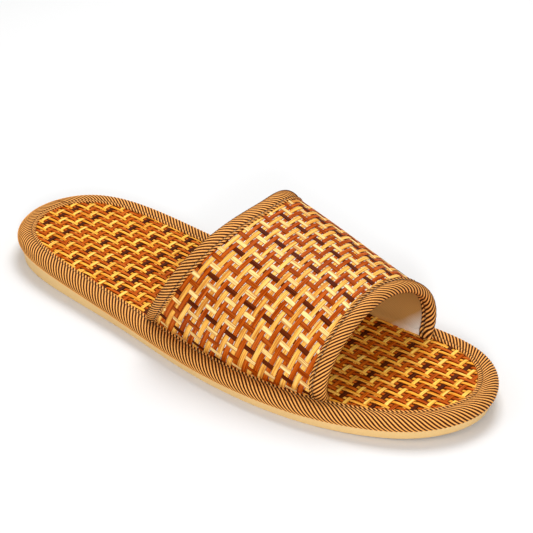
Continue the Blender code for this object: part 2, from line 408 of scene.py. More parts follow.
def guide_mesh(name, flat, place, outward):
    """A flat pattern as a mesh, each corner carrying its place and way out on the slipper."""
    rows, columns = flat.shape[:2]
    corners = np.dstack([flat, np.zeros((rows, columns))]).reshape(-1, 3) * MM
    mesh = bpy.data.meshes.new(name)
    mesh.from_pydata(corners.tolist(), [], grid_faces(rows, columns))
    for key, values, scale in (("place", place, MM), ("outward", outward, 1.0)):
        layer = mesh.attributes.new(key, "FLOAT_VECTOR", "POINT")
        layer.data.foreach_set("vector", (np.array(values) * scale).astype(np.float32).ravel())
    return new_object(name, mesh)


def shaped(tree, kind, sockets=None, **settings):
    """The first output of a new Geometry node, given by the end of its name."""
    return put(tree, "GeometryNode" + kind, sockets, **settings).outputs[0]


def xyz(tree, x=0.0, y=0.0, z=0.0):
    return put(tree, "ShaderNodeCombineXYZ", {0: x, 1: y, 2: z}).outputs[0]


def position(tree):
    """Wires for the place of each point that a node works on."""
    return split_xyz(tree, shaped(tree, "InputPosition"))


def row_of_points(tree, count, start, step):
    return shaped(tree, "MeshLine", {"Count": count, "Start Location": xyz(tree, *start),
                  "Offset": xyz(tree, *step)})


def repeated(tree, thing, seats):
    """A copy of a thing on each of the seats, as real geometry."""
    copies = shaped(tree, "InstanceOnPoints", {"Points": seats, "Instance": thing})
    return shaped(tree, "RealizeInstances", {"Geometry": copies})


def keep_as(tree, geometry, name, value, kind="FLOAT_VECTOR"):
    """Store a named attribute on the points."""
    return shaped(tree, "StoreNamedAttribute", {"Geometry": geometry, "Name": name,
                  "Value": value}, data_type=kind, domain="POINT")


def read(tree, name):
    """A named vector attribute of the points."""
    return shaped(tree, "InputNamedAttribute", {"Name": name}, data_type="FLOAT_VECTOR")


def lay_on(tree, geometry, guide, where, height):
    """Move points from the flat pattern to the slipper: a flat place and a height over it."""
    spot, way = [shaped(tree, "SampleNearestSurface", {"Mesh": guide,
                 "Value": read(tree, name), "Sample Position": where},
                 data_type="FLOAT_VECTOR") for name in ("place", "outward")]
    lift = put(tree, "ShaderNodeVectorMath", {0: way, "Scale": height}, operation="SCALE")
    goal = put(tree, "ShaderNodeVectorMath", {0: spot, 1: lift.outputs[0]}, operation="ADD")
    return shaped(tree, "SetPosition", {"Geometry": geometry, "Position": goal.outputs[0]})


def strip_lines(tree, guide, size, crosswise, bent):
    """Middle lines of the strips on the flat pattern, cut off where it ends."""
    seats = row_of_points(tree, size["Number of strips"], [size["First strip"]],
                          [size["Pitch"]])
    strip = row_of_points(tree, size["Number of steps"], [0.0, size["Start"]],
                          [0.0, size["Step"]])
    strips = repeated(tree, strip, seats)
    across, along, _ = position(tree)
    number = ((across - size["First strip"]) / size["Pitch"]).math("ROUND")
    strips = keep_as(tree, strips, "strip", xyz(tree, number, along))
    wander = noise(tree, xyz(tree, across * WANDER_SHIFT, along), WANDER_WAVES, 1.0) - 0.5
    across = across + wander * size["Wander"]
    flat = bent(along, across) if crosswise else bent(across, along)
    strips = shaped(tree, "SetPosition", {"Geometry": strips, "Position": xyz(tree, *flat)})
    gap = put(tree, "GeometryNodeProximity", {0: guide}, target_element="FACES")
    outside = Wire(tree, gap.outputs["Distance"]).math("GREATER_THAN", CUT_GAP)
    strips = shaped(tree, "DeleteGeometry", {"Geometry": strips, "Selection": outside},
                    domain="POINT")
    lines = shaped(tree, "MeshToCurve", {"Mesh": strips})
    return shaped(tree, "SetCurveNormal", {"Curve": lines}, mode="Z_UP")


def strip_section(tree, size):
    """A strip's section, nearly a flat bar, each point knowing how far across it is."""
    ring = shaped(tree, "CurvePrimitiveCircle", {"Resolution": STRIP_CORNERS, "Radius": 1.0},
                  mode="RADIUS")
    ring = shaped(tree, "Transform", {"Geometry": ring, "Rotation": xyz(
                  tree, 0.0, 0.0, math.pi / STRIP_CORNERS)})
    side, top = [way.math("SIGN") * way.math("ABSOLUTE").math("POWER", roundness)
                 for way, roundness in zip(position(tree), STRIP_ROUNDNESS)]
    ring = keep_as(tree, ring, "across", side, "FLOAT")
    return shaped(tree, "SetPosition", {"Geometry": ring, "Position": xyz(
                  tree, side * size["Width"] * 0.5, top * size["Thickness"] * 0.5)})


def weave(tree, guide, size, crosswise, bent):
    """Straw strips side by side on a flat pattern, over and under a crossing set.

    bent turns a point's regular place into its real one. The strips may widen towards the
    little-toe side, where they fan out but still cover the cloth."""
    lines = strip_lines(tree, guide, size, crosswise, bent)
    section = strip_section(tree, size)
    fullness = (-position(tree)[0]).past(size["Widening from"], size["Widening"]) + 1.0
    tubes = shaped(tree, "CurveToMesh", {"Curve": lines, "Profile Curve": section,
                   "Scale": fullness, "Fill Caps": True})
    number, along, _ = split_xyz(tree, read(tree, "strip"))
    crossing = (along - size["Crossing first"]) / size["Crossing pitch"]
    turn = (crossing + number + size["Crossing phase"]) % WEAVE_REPEAT
    wave = ((turn - 1.0) * (2.0 * math.pi / WEAVE_REPEAT)).math("COSINE") * FLOAT_FLATNESS
    wave = wave.clamp(-1.0, 1.0)
    if crosswise:
        wave = -wave
    x, y, z = position(tree)
    return lay_on(tree, tubes, guide, xyz(tree, x, y), z + wave * size["Rise"])


def close_up(mesh):
    """Cap what is left open and turn every face outwards."""
    work = bmesh.new()
    work.from_mesh(mesh)
    bmesh.ops.holes_fill(work, edges=[edge for edge in work.edges if edge.is_boundary])
    bmesh.ops.recalc_face_normals(work, faces=work.faces)
    work.to_mesh(mesh)
    work.free()


def made(name, guide, material, sizes, shape, *choices):
    """A piece that Geometry Nodes make on a guide, kept as a plain closed mesh. The tree
    has a named input for each size, and shape is the function that fills it."""
    tree = bpy.data.node_groups.new(name, "GeometryNodeTree")
    tree.interface.new_socket("Guide", in_out="INPUT", socket_type="NodeSocketGeometry")
    keys = {}
    for size, value in sizes.items():
        kind = "NodeSocketInt" if isinstance(value, int) else "NodeSocketFloat"
        socket = tree.interface.new_socket(size, in_out="INPUT", socket_type=kind)
        keys[size] = socket.identifier
    tree.interface.new_socket("Piece", in_out="OUTPUT", socket_type="NodeSocketGeometry")
    start = put(tree, "NodeGroupInput")
    wires = {size: Wire(tree, start.outputs[size]) for size in sizes}
    geometry = shape(tree, start.outputs["Guide"], wires, *choices)
    whole = shaped(tree, "RealizeInstances", {"Geometry": geometry})
    smooth = shaped(tree, "SetShadeSmooth", {"Geometry": whole})
    dressed = shaped(tree, "SetMaterial", {"Geometry": smooth, "Material": material})
    put(tree, "NodeGroupOutput", {"Piece": dressed})

    modifier = guide.modifiers.new(name, "NODES")
    modifier.node_group = tree
    for size, value in sizes.items():
        modifier[keys[size]] = value
    depsgraph = bpy.context.evaluated_depsgraph_get()
    mesh = bpy.data.meshes.new_from_object(guide.evaluated_get(depsgraph),
                                           depsgraph=depsgraph)
    guide.modifiers.remove(modifier)
    mesh.name = name
    close_up(mesh)
    return new_object(name, mesh)


def woven(pattern, bent, phase, lengthwise, crosswise):
    """Both sets of strips of a weave, each given by its name, its straw and its sizes."""
    pieces = []
    for own, other in ((lengthwise, crosswise), (crosswise, lengthwise)):
        name, material, sizes = own
        sizes = {"Widening from": 0.0, "Widening": 0.0, **sizes, "Crossing phase": phase,
                 "Crossing first": other[2]["First strip"],
                 "Crossing pitch": other[2]["Pitch"]}
        pieces.append(made(name, pattern, material, sizes, weave, own is crosswise, bent))
    return pieces


def straw(name, colours, streak):
    """Straw strips in a repeating order of colours, streaked along their length, with painted
    shade on their edges and sides.
    """
    material, tree, shader = new_finish(name, 0.45, 0.04)
    strip = put(tree, "ShaderNodeAttribute", attribute_name="strip").outputs["Vector"]
    across = put(tree, "ShaderNodeAttribute", attribute_name="across").outputs["Fac"]
    number, along, _ = split_xyz(tree, strip)
    side = Wire(tree, across)
    count = float(len(colours))
    ramp = put(tree, "ShaderNodeValToRGB", {0: ((number + 0.5) % count) / count})
    ramp.color_ramp.interpolation = "CONSTANT"
    points = ramp.color_ramp.elements
    points.remove(points[1])
    points[0].position = 0.0
    points[0].color = paint(colours[0])
    for i, code in enumerate(colours[1:], 1):
        points.new(i / count).color = paint(code)
    base = ramp.outputs[0]
    splits, patches, fibres = [
        noise(tree, xyz(tree, number * shift, along * length, side * width), 1.0, detail, rough)
        for shift, length, width, detail, rough in STRAW_GRAIN]
    tone = (splits * 0.45 + fibres * 0.55 - 0.5) * STRAW_CONTRAST
    light = blend_colours(tree, 0.6, base, base, "SCREEN")
    light = blend_colours(tree, split_xyz(tree, base)[1] * 0.4, light, STRAW_PALE)
    dark = blend_colours(tree, 0.85, base, STRAW_SHADE, "MULTIPLY")
    spots = (patches - 0.5).clamp() * 1.6
    # painted shade: a strip's edges and side faces darken, standing for the shade in the gaps
    # and on the sides of the straw
    edge = (side.math("ABSOLUTE") - STRAW_SHADED_EDGE) * 3.0
    colour = blend_colours(tree, tone.clamp() * streak, base, light)
    for share in ((-tone).clamp() * streak, spots * streak, edge.clamp(high=0.75)):
        colour = blend_colours(tree, share, colour, dark)
    coat(tree, shader, colour, splits * 0.25 + 0.35)
    bumpy(tree, shader, fibres + splits, 0.2 * MM, 0.5)
    return material


def board_cloth():
    """Dark brown cloth with a fine uneven thread."""
    material, tree, shader = new_finish("footbed_board", 0.9)
    threads = noise(tree, own_place(tree), BOARD_THREADS, 3.0)
    coat(tree, shader, blend_colours(tree, threads, BOARD_BROWN, BOARD_RUST))
    bumpy(tree, shader, threads, 0.2 * MM, 0.7)
    return material


def bed_guide():
    """Flat pattern of the straw mat: x across, the station along."""
    outer = inset_side(OUTER_SIDE, MAT_INSET)
    inner = inset_side(INNER_SIDE, MAT_INSET)
    low = max(outer[:, 1].min(), inner[:, 1].min()) + MAT_END_GAP
    high = min(outer[:, 1].max(), inner[:, 1].max()) - MAT_END_GAP
    turn = np.linspace(0.0, math.pi, MAT_ROWS)
    stations = low + (high - low) * 0.5 * (1.0 - np.cos(turn))
    left = np.interp(stations, outer[:, 1], outer[:, 0])
    right = np.interp(stations, inner[:, 1], inner[:, 0])
    share = np.linspace(0.0, 1.0, MAT_COLUMNS)
    x = left[:, None] + (right - left)[:, None] * share[None, :]
    s = np.repeat(stations[:, None], MAT_COLUMNS, axis=1)
    z = sole_top(s) + FOOTBED_TOP + MAT_CLEARANCE
    place = np.dstack([x, 0.5 * LENGTH - s, z])
    outward = np.zeros_like(place)
    outward[..., 2] = 1.0
    return guide_mesh("bed_guide", np.dstack([x, s]), place, outward)


def bent_mat(across, along):
    """Where the regular mat really lies: it drifts aside and its columns lean and open."""
    opened = along.past(*BED_OPENING)
    lean = across.past(*BED_LEAN)
    return across - along.ramp(*BED_DRIFT_RAMP) * BED_DRIFT, along + opened + lean


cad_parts["footbed"].material_slots[0].material = board_cloth()
column_colours = []
for letter in BED_COLUMN_ORDER:
    column_colours += [BED_YELLOW, BED_RUST if letter == "R" else BED_BROWN]
row_straw = straw("bed_straw_lengthwise", BED_ROW_COLOURS, streak=0.8)
column_straw = straw("bed_straw_crosswise", column_colours, streak=0.7)
bed = bed_guide()
bed_rows, bed_columns = woven(bed, bent_mat, BED_PHASE, ("bed_rows", row_straw, {
    "Number of strips": 34, "First strip": -43.04 * MM, "Pitch": 2.47 * MM,
    "Number of steps": 300, "Start": 0.0, "Step": 0.9 * MM, "Width": 1.65 * MM,
    "Thickness": 0.38 * MM, "Rise": 0.19 * MM, "Wander": 0.3 * MM,
}), ("bed_columns", column_straw, {
    "Number of strips": 80, "First strip": 4.95 * MM, "Pitch": 3.525 * MM,
    "Number of steps": 175, "Start": -52.0 * MM, "Step": 0.6 * MM, "Width": 1.9 * MM,
    "Thickness": 0.42 * MM, "Rise": 0.24 * MM, "Wander": 0.3 * MM}))
for piece in (bed_rows, bed_columns):
    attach(piece, "root")
bpy.data.objects.remove(bed)

# ---- Rim binding -----------------------------------------------------------
# Ribbed cotton tape wrapped round the edge of the footbed, from the glue line at the outsole
# over a soft roll to a narrow stitched hem on the mat. Its ribs run aslant, dark and tan.
RIM_PROFILE = [
    # inset from the outline, height above the outsole's top, where the tape is seen
    (1.5, 0.25), (0.45, 1.2), (0.0, 2.8), (0.35, 4.3), (1.5, 5.65), (3.3, 6.35),
    (5.2, 6.3), (6.5, 5.95), (7.0, 5.6), (7.5, 5.85), (8.2, 6.0), (8.9, 5.75), (9.2, 5.3),
]
RIM_RETURN = [(8.6, 4.95), (6.0, 4.95), (3.8, 4.85), (2.6, 4.1), (2.3, 2.8), (2.6, 0.6)]
RIM_GROOVES = [8]  # the corner of the profile where the seam sinks in
PROFILE_SAMPLES = 3  # from one corner of a profile to the next
RIM_STEPS = 320
RIM_ROWS = 27
HIDDEN_SHARE = 0.22  # how much of the pattern the unseen side takes, to spare points
RIB_PITCH = 2.12
RIB_HEIGHT = 0.28 * MM
RIB_COLUMNS = 6  # columns of points to a rib
RIB_FADE_HEM = 1500.0  # a metre: ribs reach full height 0.67 mm from a hem,
RIB_FADE_END = 2000.0  # and 0.5 mm from a cut end
RIM_SLANT = -1.1
MERGE_GAP = 0.01 * MM
RIM_STITCHES = 240
STITCH_SLANT = 0.2
# the tape's own dark and tan stripes; the lighter colour at the top of each rib is a painted
# highlight
TAPE_TAN = paint("e28a2e")
TAPE_PAINTED_HIGHLIGHT = paint("fcba6a")
TAPE_DARK = paint("301004")
TAPE_DIRT = paint("9c6430")
DARK_TO = 0.40  # of a rib's height,
TAN_FROM = 0.60  # with a blend between them
RIB_WAVER = 0.14  # of a rib's pitch
WAVER_SCALE = (120.0, 500.0)  # along the tape and across it
THREAD_SCALE = (2.0, 2600.0)  # to a rib and across it
DIRT_SCALE = (60.0, 90.0)
SEAM_WIDTH = 0.55 * MM  # half the breadth of painted shade along a seam
SEAM_SHADE = 0.8
THREAD_TAN = paint("dcb98a")
THREAD_SHADE = paint("a8834e")
THREAD_FUZZ = 2500.0


def summed(steps):
    """How far along each point is, from the steps between them."""
    return np.concatenate([[0.0], np.cumsum(steps)])


def fine_profile(seen, hidden):
    """A closed tape section: its points, and how far round the pattern each of them is."""
    runs = closed_spline(seen + hidden, PROFILE_SAMPLES)
    points = np.vstack(runs + [runs[0][:1]])
    step = step_lengths(points)
    step[(len(seen) - 1) * PROFILE_SAMPLES:] *= HIDDEN_SHARE
    return points, summed(step)


def even_outline():
    """Outline as evenly spaced (x, y), its outward directions and its whole length."""
    loop = np.vstack([OUTER_SIDE, INNER_SIDE[::-1][1:]])
    loop = np.column_stack([loop[:, 0], 0.5 * LENGTH - loop[:, 1]])
    run = summed(step_lengths(loop))
    where = np.linspace(0.0, run[-1], RIM_STEPS, endpoint=False)
    points = np.column_stack([np.interp(where, run, loop[:, k]) for k in (0, 1)])
    along = np.roll(points, -1, axis=0) - np.roll(points, 1, axis=0)
    along /= np.linalg.norm(along, axis=1)[:, None]
    return points, np.column_stack([along[:, 1], -along[:, 0]]), run[-1]


def section_outward(place):
    """Way out of a swept section at each of its points; rows go along, columns round it."""
    along = np.gradient(place, axis=0)
    around = np.gradient(place, axis=1)
    around[:, 0] = around[:, -1] = place[:, 1] - place[:, -2]
    outward = np.cross(along, around)
    return outward / np.linalg.norm(outward, axis=2)[..., None]


def tape_guide(name, place, way, run, across, seen, grooves):
    """A tape's guide, its length and width, and how far across it lie the end of what is
    seen and the seams."""
    flat = np.dstack(np.broadcast_arrays(run[:, None], across[None, :]))
    marks = [across[corner * PROFILE_SAMPLES] for corner in (len(seen) - 1, *grooves)]
    return guide_mesh(name, flat, place, way), run[-1], across[-1], marks[0], marks[1:]


def ribbed_tape(tree, guide, size, closed):
    """Tape with slanting ribs, made on a flat pattern and laid on its guide."""
    cloth = shaped(tree, "MeshGrid", {"Size X": size["Length"], "Size Y": size["Width"],
                   "Vertices X": size["Number of columns"],
                   "Vertices Y": size["Number of rows"]})
    x, y, _ = position(tree)
    along = x + size["Length"] * 0.5
    across = y + size["Width"] * 0.5
    phase = along / size["Rib pitch"]
    cloth = keep_as(tree, cloth, "tape", xyz(tree, phase, across, along))
    phase, across, along = split_xyz(tree, read(tree, "tape"))
    unseen = (size["Width"] - across) / (size["Width"] - size["Seen width"])
    back = across.math("MINIMUM", size["Seen width"] * unseen)
    slant = size["Slant"] + along * size["Slant growth"]
    spread = along.swept(size["Spread start"], size["Spread"])
    spot = along + spread + back * slant + size["Left end"]
    if closed:
        spot = spot % size["Length"]
    seen = across.math("MINIMUM", size["Seen width"] - across)
    height = (phase.swing() * 0.5 + 0.5) * (seen * RIB_FADE_HEM).clamp() * size["Rib height"]
    if not closed:
        for inside in (spot, size["Guide length"] - spot):
            height = height * (inside * RIB_FADE_END).clamp()
    cloth = lay_on(tree, cloth, guide, xyz(tree, spot, across), height)
    return shaped(tree, "MergeByDistance", {"Geometry": cloth, "Distance": MERGE_GAP})


def stitching(tree, guide, size):
    """A row of short threads laid along a groove of a guide."""
    seats = row_of_points(tree, size["Number of stitches"],
                          [size["First stitch"], size["Groove"]], [size["Pitch"]])
    bead = shaped(tree, "MeshUVSphere", {"Segments": 8, "Rings": 6, "Radius": 0.5})
    thick = size["Thickness"]
    stitch = shaped(tree, "Transform", {"Geometry": bead,
                    "Rotation": xyz(tree, 0.0, 0.0, size["Slant"]),
                    "Scale": xyz(tree, size["Length"], thick, thick)})
    row = repeated(tree, stitch, seats)
    x, y, z = position(tree)
    return lay_on(tree, row, guide, xyz(tree, x, y), z + size["Lift"])


def tape_cloth(name, seams):
    """Dark and tan ribs in step with the tape's own, with a painted highlight on each rib's
    top, and painted shade where the seams pull it in.
    """
    material, tree, shader = new_finish(name, 0.6, 0.08)
    tape = put(tree, "ShaderNodeAttribute", attribute_name="tape").outputs["Vector"]
    phase, across, along = split_xyz(tree, tape)
    waver = noise(tree, xyz(tree, along * WAVER_SCALE[0], across * WAVER_SCALE[1])) - 0.5
    rib = (phase + waver * RIB_WAVER).swing() * 0.5 + 0.5
    ramp = put(tree, "ShaderNodeValToRGB", {0: rib})
    points = ramp.color_ramp.elements
    points[0].position = DARK_TO
    points[0].color = TAPE_DARK
    points[1].position = TAN_FROM
    points[1].color = TAPE_TAN
    # painted highlight: the top of each rib is lighter
    points.new(1.0).color = TAPE_PAINTED_HIGHLIGHT
    threads = noise(tree, xyz(tree, phase * THREAD_SCALE[0], across * THREAD_SCALE[1]))
    dirt = noise(tree, xyz(tree, along * DIRT_SCALE[0], across * DIRT_SCALE[1]), 1.0, 3.0)
    colour = blend_colours(tree, (threads - 0.5).clamp() * 1.1, ramp.outputs[0], TAPE_DARK)
    colour = blend_colours(tree, dirt * 0.1, colour, TAPE_DIRT)
    # painted shade in the grooves where the seams pull the tape in
    for seam in seams:
        away = (across - seam * MM).math("ABSOLUTE") / SEAM_WIDTH
        colour = blend_colours(tree, (-away + 1.0).clamp() * SEAM_SHADE, colour, TAPE_DARK)
    coat(tree, shader, colour, threads * 0.3 + 0.45)
    bumpy(tree, shader, threads + rib * 0.6, 0.12 * MM, 0.7)
    return material


def binding_thread():
    """Tan sewing thread, a little fuzzy."""
    material, tree, shader = new_finish("binding_thread", 0.5)
    fuzz = noise(tree, own_place(tree), THREAD_FUZZ)
    coat(tree, shader, blend_colours(tree, fuzz, THREAD_TAN, THREAD_SHADE))
    bumpy(tree, shader, fuzz, 0.1 * MM)
    return material


def rim_guide():
    section, across = fine_profile(RIM_PROFILE, RIM_RETURN)
    points, outward, length = even_outline()
    points = np.vstack([points, points[:1]])
    outward = np.vstack([outward, outward[:1]])
    x = points[:, None, 0] - section[None, :, 0] * outward[:, None, 0]
    y = points[:, None, 1] - section[None, :, 0] * outward[:, None, 1]
    z = sole_top(0.5 * LENGTH - y) + section[None, :, 1]
    place = np.dstack([x, y, z])
    run = np.linspace(0.0, length, RIM_STEPS + 1)
    way = section_outward(place)
    way[0] = way[-1] = (way[0] + way[-1]) / np.linalg.norm(way[0] + way[-1], axis=1)[:, None]
    return tape_guide("rim_guide", place, way, run, across, RIM_PROFILE, RIM_GROOVES)


rim, rim_length, rim_width, rim_seen, rim_seams = rim_guide()
rib_count = round(rim_length / RIB_PITCH)
thread = binding_thread()
rim_tape = made("rim_tape", rim, tape_cloth("rim_tape_cloth", rim_seams), {
    "Number of columns": rib_count * RIB_COLUMNS + 1, "Number of rows": RIM_ROWS,
    "Length": rim_length * MM, "Width": rim_width * MM, "Left end": 0.0,
    "Slant": RIM_SLANT, "Slant growth": 0.0, "Spread start": 0.0, "Spread": 0.0,
    "Rib pitch": rim_length / rib_count * MM, "Rib height": RIB_HEIGHT,
    "Seen width": rim_seen * MM}, ribbed_tape, True)
rim_stitches = made("rim_stitches", rim, thread, {
    "Number of stitches": RIM_STITCHES, "First stitch": 0.5 * MM,
    "Pitch": rim_length / RIM_STITCHES * MM, "Length": 1.1 * MM, "Thickness": 0.32 * MM,
    "Groove": rim_seams[0] * MM, "Lift": 0.2 * MM, "Slant": STITCH_SLANT}, stitching)
for piece in (rim_tape, rim_stitches):
    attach(piece, "root")
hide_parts("rim_binding")
bpy.data.objects.remove(rim)

# ---- Vamp ------------------------------------------------------------------
# A band of the same straw, woven flatter and wider, over a white cloth that shows in the
# gaps, with a cloth lining inside. It is cut flat, bent to a barrel and caught under the rim.
VAMP_SECTIONS = [
    # station, crest height, crest shift to the inside, outer fullness, inner fullness
    (110.0, 61.5, 15.5, 2.9, 4.2),
    (210.0, 37.5, 3.5, 2.0, 2.35),
]
ARCH_SAMPLES = 241
OUTER_FOOT_INSET = 9.5
INNER_FOOT_INSET = 9.9
VAMP_FOOT_HEIGHT = 4.9  # above the outsole's top
OUTER_BULGE = 4.5
INNER_BULGE = 9.1
BULGE_START = 1.8
BULGE_POWER = 0.66
FOOT_SHARE = 0.94  # beyond this share the way out of the face is held still
THROAT_EDGE = {"crest": 143.5, "skew": 2.0, "sweep": -32.5, "kick": 0.0}
TOE_EDGE = {"crest": 218.5, "skew": 3.0, "sweep": 0.0, "kick": 15.0}
KICK_START = 0.55  # the toe edge runs forwards from here to the inner foot
VAMP_SHARES = np.linspace(-1.0, 1.0, 121)
VAMP_STEPS = 16
STRAW_HEIGHT = 0.72  # middle of the straw above the vamp's face
BACKING_HEIGHTS = (0.44, -0.5)  # top and underside of the white cloth over that face
LINING_HEIGHTS = (-0.7, -1.5)
LINING_TUCK = 1.5  # the lining's two feet go down past the white cloth
STRAW_REACH = 4.5  # the straw stops this far in from the throat and toe edges
CLOTH_REACH = 1.6  # and the two cloths this far
VAMP_PHASE = 2.5
WEFT_COLOURS = ["561c00", "f4cc7c", "9e4200", "f4cc7c"]
WARP_COLOURS = ["f2b04a", "b44e02"]
# start and growth of the bends in the rows: outwards, low on the outer side and at the toe
SIDE_BEND = (50.0 * MM, 10.4)
TOE_BEND = (180.0 * MM, 3.1)
TILT = 0.03  # and how they tilt, on the inner side only
TILT_MIDDLE = 165.0 * MM
TILT_RAMP = (-15.0 * MM, 20.0 * MM)
# the columns fan back down the outer side, more at the throat, and further near the foot
FAN_START = 20.0 * MM
FAN_AT_TOE = 0.01
FAN_MORE = 0.12
FAN_RAMP = (-182.0 * MM, 25.0 * MM)
FOOT_SWEEP = (45.0 * MM, 6.0)
BACKING_COLOURS = (paint("fffbf2"), paint("f8ecd8"))
# The lining's colours are its cloth darkened to the shade under the arch, so they are partly
# painted shade; the lighter pair below is a painted lit patch.
LINING_COLOURS = (paint("cc944c"), paint("8e6026"))
LINING_PAINTED_LIGHT = (paint("fffaf2"), paint("dcd0be"))  # painted light: the lit patch it fades to at the inner toe corner
CLOTH_THREADS = 9000.0  # radians a metre: a thread about every 0.7 mm
CLOTH_CLOUDS = 60.0
# Where the painted lit patch lies: towards the toe, low down and on the inner side, with cloudy
# edges
LIT_PATCH_FORWARD = (66.0 * MM, 14.0 * MM)
LIT_PATCH_UPWARD = (10.0 * MM, 11.0 * MM)
LIT_PATCH_SIDE = 200.0  # a metre: it reaches full strength 5 mm to the inner side
LIT_PATCH_CLOUDS = 0.6


def arch(station):
    """The vamp's outer face at a station: x, z and the share of its length."""
    first, last = np.array(VAMP_SECTIONS)
    mix = (station - first[0]) / (last[0] - first[0])
    _, height, shift, outer_full, inner_full = first + (last - first) * mix
    outer_foot = np.interp(station, OUTER_FOOT[:, 1], OUTER_FOOT[:, 0])
    inner_foot = np.interp(station, INNER_FOOT[:, 1], INNER_FOOT[:, 0])
    middle = 0.5 * (outer_foot + inner_foot) + shift
    turn = 0.5 * math.pi * (1.0 - np.cos(np.linspace(0.0, math.pi, ARCH_SAMPLES)))
    on_outer = turn < 0.5 * math.pi
    fullness = np.where(on_outer, outer_full, inner_full)
    reach = np.abs(np.cos(turn)) ** (2.0 / fullness)
    rise = height * np.abs(np.sin(turn)) ** (2.0 / fullness)
    lean = np.clip((rise - BULGE_START) / (height - BULGE_START), 0.0, 1.0)
    lean = reach * (4.0 * lean * (1.0 - lean)) ** BULGE_POWER
    x_outer = middle - (middle - outer_foot) * reach - OUTER_BULGE * lean
    x_inner = middle + (inner_foot - middle) * reach + INNER_BULGE * lean
    x = np.where(on_outer, x_outer, x_inner)
    z = sole_top(station) + VAMP_FOOT_HEIGHT + rise
    run = summed(np.hypot(np.diff(x), np.diff(z)))
    return x, z, 2.0 * run / run[-1] - 1.0


def on_arch(station, share):
    """A point on the vamp's outer face, share -1 at its outer foot and 1 at its inner."""
    x, z, shares = arch(station)
    y = 0.5 * LENGTH - station
    return np.array([np.interp(share, shares, x), y, np.interp(share, shares, z)])


def over_arch(station, share):
    """A point on the vamp's outer face and its way out."""
    held = np.clip(share, -FOOT_SHARE, FOOT_SHARE)
    across = on_arch(station, held + 0.01) - on_arch(station, held - 0.01)
    along = on_arch(station + 1.0, held) - on_arch(station - 1.0, held)
    outward = np.cross(along, across)
    return on_arch(station, share), outward / np.linalg.norm(outward)


def edge_station(edge, share):
    """Where one of the vamp's two edges crosses the arch at a share."""
    station = edge["crest"] + edge["skew"] * share + edge["sweep"] * share ** 2
    return station + edge["kick"] * max(share - KICK_START, 0.0) ** 2


def apart(first, second):
    return np.linalg.norm(first - second)


def third_corner(first, second, from_first, from_second, side):
    """Corner of a flat triangle from its base and the lengths of its other two sides."""
    base = second - first
    length = np.linalg.norm(base)
    along = (from_first ** 2 - from_second ** 2 + length ** 2) / (2.0 * length)
    aside = math.sqrt(max(from_first ** 2 - along ** 2, 0.0))
    base = base / length
    return first + along * base + side * aside * np.array([-base[1], base[0]])


def flat_pattern():
    """The vamp opened out flat from its crest line: its two edges, point by point."""
    rear = [on_arch(edge_station(THROAT_EDGE, w), w) for w in VAMP_SHARES]
    front = [on_arch(edge_station(TOE_EDGE, w), w) for w in VAMP_SHARES]
    middle = len(VAMP_SHARES) // 2
    a, b = np.zeros((2, len(VAMP_SHARES), 2))
    a[middle] = (0.0, -edge_station(THROAT_EDGE, 0.0))
    b[middle] = a[middle] - (0.0, apart(rear[middle], front[middle]))
    for step in (1, -1):
        i = middle
        while 0 <= i + step < len(VAMP_SHARES):
            j = i + step
            a[j] = third_corner(b[i], a[i], apart(rear[j], front[i]),
                                apart(rear[j], rear[i]), -step)
            b[j] = third_corner(b[i], a[j], apart(front[j], front[i]),
                                apart(front[j], rear[j]), -step)
            i = j
    return a * (1.0, -1.0), b * (1.0, -1.0)


def vamp_grid(reach):
    """Flat place, place and way out over the vamp, as far as a distance from its edges."""
    rear_flat, front_flat = flat_pattern()
    share = np.linspace(0.0, 1.0, VAMP_STEPS + 1)
    flat, place, outward = [], [], []
    for i, w in enumerate(VAMP_SHARES):
        rear = edge_station(THROAT_EDGE, w)
        front = edge_station(TOE_EDGE, w)
        stations = rear + reach + (front - reach - rear - reach) * share
        mix = ((stations - rear) / (front - rear))[:, None]
        flat.append(rear_flat[i] + (front_flat[i] - rear_flat[i]) * mix)
        points = [over_arch(station, w) for station in stations]
        place.append([p for p, _ in points])
        outward.append([n for _, n in points])
    return np.array(flat), np.array(place), np.array(outward)


def bent_weave(across, along):
    """Where the regular weave really lies: the rows bend and the columns fan out a little."""
    tilt = (along - TILT_MIDDLE) * across.ramp(*TILT_RAMP) * TILT
    x = across - (-across).swept(*SIDE_BEND) - along.swept(*TOE_BEND) - tilt
    fan = (-along).ramp(*FAN_RAMP) * FAN_MORE + FAN_AT_TOE
    return x, along - (-across).past(FAN_START, fan) - (-across).swept(*FOOT_SWEEP)


def border(grid):
    """What lies round the edge of a grid, in order and each once."""
    return np.concatenate([grid[:-1, 0], grid[-1, :-1], grid[:0:-1, -1], grid[0, :0:-1]])


def cloth_sheet(name, place, outward, heights, material):
    """A thin closed sheet between two heights over a grid of points."""
    rows, columns = place.shape[:2]
    count = rows * columns
    points = np.vstack([(place + height * outward).reshape(-1, 3) for height in heights])
    faces = []
    for a, b, c, d in grid_faces(rows, columns):
        faces += [(a, d, c, b), (b + count, c + count, d + count, a + count)]
    edge = border(np.arange(count).reshape(rows, columns)).tolist()
    for a, b in zip(edge, edge[1:] + edge[:1]):
        faces.append((a, b, b + count, a + count))
    mesh = bpy.data.meshes.new(name)
    mesh.from_pydata((points * MM).tolist(), [], faces)
    close_up(mesh)
    mesh.shade_smooth()
    mesh.set_sharp_from_angle(angle=math.radians(40.0))
    mesh.materials.append(material)
    return new_object(name, mesh)


